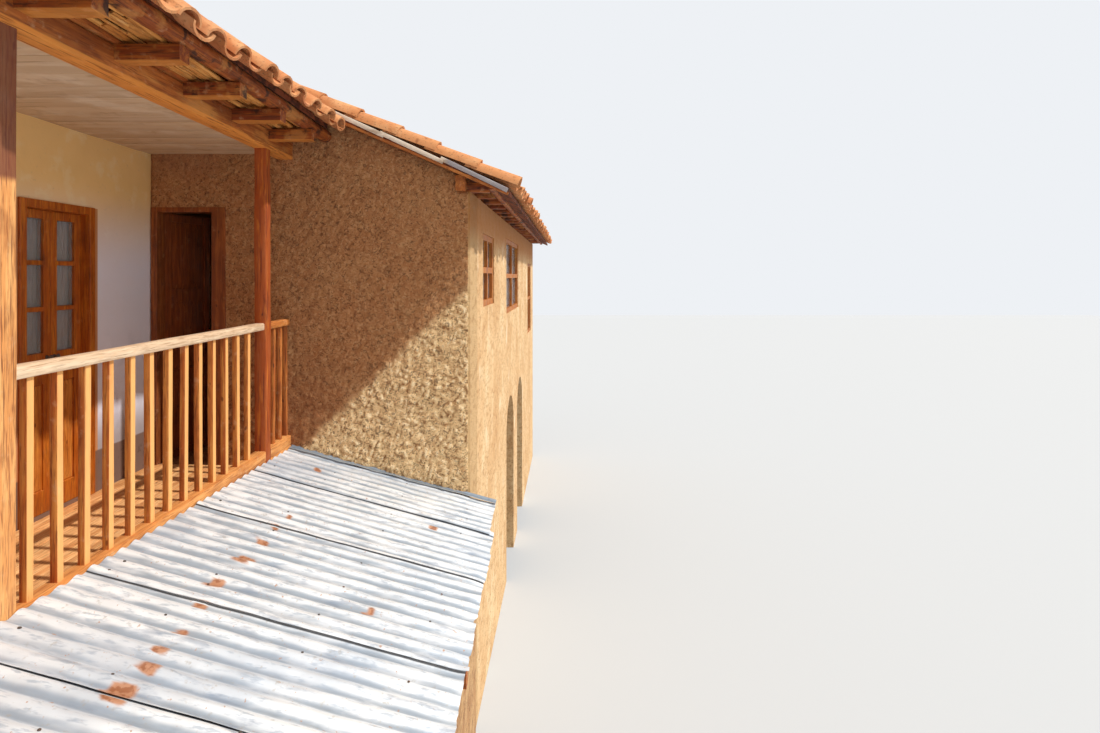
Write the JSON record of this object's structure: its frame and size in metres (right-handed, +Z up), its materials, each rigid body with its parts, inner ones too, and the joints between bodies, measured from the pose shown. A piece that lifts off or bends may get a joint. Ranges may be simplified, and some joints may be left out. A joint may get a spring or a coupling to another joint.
{
  "type": "adobe house",
  "caption": "Adobe house with a timber gallery on the upper floor, a wide tiled wing beside it and a corrugated lean-to roof.",
  "frame": {"origin": "middle of the gallery wall's foot, on the ground", "axes": "+X towards the court, +Y along the gallery towards the wide wing, +Z up"},
  "size_m": [8.313, 14.73, 7.1152],
  "materials": {
    "mud_plaster": "rough straw-flecked mud plaster over adobe",
    "limed_plaster": "old cream limewash with stains",
    "tan_plaster": "sunlit beige mud plaster with cracks and streaks",
    "old_timber": "weathered orange-brown sawn timber",
    "pale_timber": "sun-bleached timber",
    "dark_timber": "dark red-brown varnished timber, worn",
    "clay_tile": "old unglazed clay barrel tiles",
    "mud_bed": "mud and split sticks",
    "soffit_board": "pale painted boards, stained",
    "galvanised_sheet": "weathered galvanised sheet with rust spots",
    "pane": "old window glass"
  },
  "bodies": {
    "root": {"back_wall": "mud_plaster", "south_gable_wall": "mud_plaster", "north_gable_wall": "mud_plaster", "gallery_wall": "limed_plaster", "end_wall": "mud_plaster", "side_wall_lower": "tan_plaster", "side_wall_upper": "tan_plaster", "near_room_floor": "old_timber", "wide_room_floor": "old_timber", "gallery_floor_beams": "old_timber", "gallery_floor_joists": "old_timber", "gallery_floor_boards": "old_timber", "gallery_posts": "old_timber", "gallery_kerb": "pale_timber", "gallery_railing": "pale_timber", "gallery_plate": "old_timber", "ceiling_joists": "old_timber", "gallery_soffit": "soffit_board", "eave_purlin": "old_timber", "gallery_sole": "old_timber", "near_rafters": "old_timber", "wide_rafters": "old_timber", "ridge_boards": "old_timber", "near_roof_bed": "mud_bed", "wide_roof_bed": "mud_bed", "near_roof_tiles": "clay_tile", "wide_roof_tiles": "clay_tile", "verge_tiles": "clay_tile", "verge_board": "old_timber", "ridge_tiles": "clay_tile", "side_tails": "old_timber", "side_plates": "old_timber", "side_eave_batten": "old_timber", "lean_to_walls": "tan_plaster", "lean_to_rafters": "old_timber", "lean_to_purlins": "old_timber", "corrugated_sheets": "galvanised_sheet", "wall_flashing": "galvanised_sheet", "french_door_frame": "dark_timber", "french_door_leaves": "dark_timber", "french_door_glass": "pane", "end_door_frame": "old_timber", "end_door_leaf": "dark_timber", "side_window_frames": "old_timber", "side_window_glass": "pane"}
  },
  "joints": []
}
